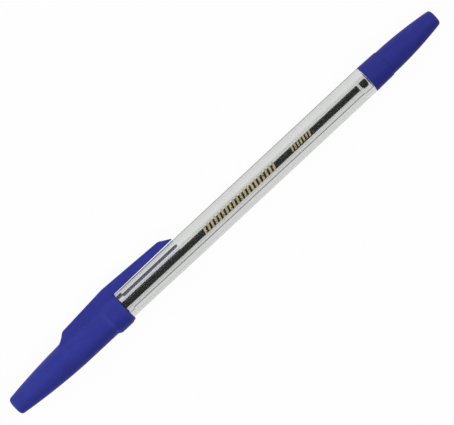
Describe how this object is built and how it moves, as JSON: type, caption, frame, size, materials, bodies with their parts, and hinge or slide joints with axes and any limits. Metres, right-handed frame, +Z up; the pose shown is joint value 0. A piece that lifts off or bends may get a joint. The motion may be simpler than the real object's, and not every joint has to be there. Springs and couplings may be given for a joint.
{
  "type": "stick ballpoint pen",
  "caption": "Capped stick ballpoint pen: clear round barrel with refill, coloured push-fit cap with a moulded clip, nose cone, tapered tail plug and a rolling ball point.",
  "frame": {"origin": "on the pen's axis, halfway along the clear barrel between its two shoulders", "axes": "+X along the pen from the point to the tail, +Z up with the pen lying on its side, clip on the +Y side"},
  "size_m": [0.15, 0.0121, 0.0096],
  "materials": {
    "blue_plastic": "satin moulded",
    "clear_plastic": "clear",
    "tube_plastic": "translucent",
    "ink": "wet",
    "point_metal": "turned",
    "ball_metal": "polished"
  },
  "bodies": {
    "pen": {"barrel": "clear_plastic", "nose_cone": "blue_plastic", "tail_plug": "blue_plastic", "refill_tube": "tube_plastic", "ink_column": "ink", "ink_tail": "ink", "point_holder": "tube_plastic", "writing_point": "point_metal"},
    "cap": {"cap": "blue_plastic"},
    "ball": {"ball": "ball_metal"}
  },
  "joints": [
    {"name": "cap_pull", "type": "slide", "parent": "pen", "child": "cap", "axis": [-1, 0, 0], "range_m": [0, 0.055]},
    {"name": "ball_roll", "type": "hinge", "parent": "pen", "child": "ball", "pos_m": [-0.07398, 0, 0], "axis": [0, 1, 0], "continuous": true}
  ]
}
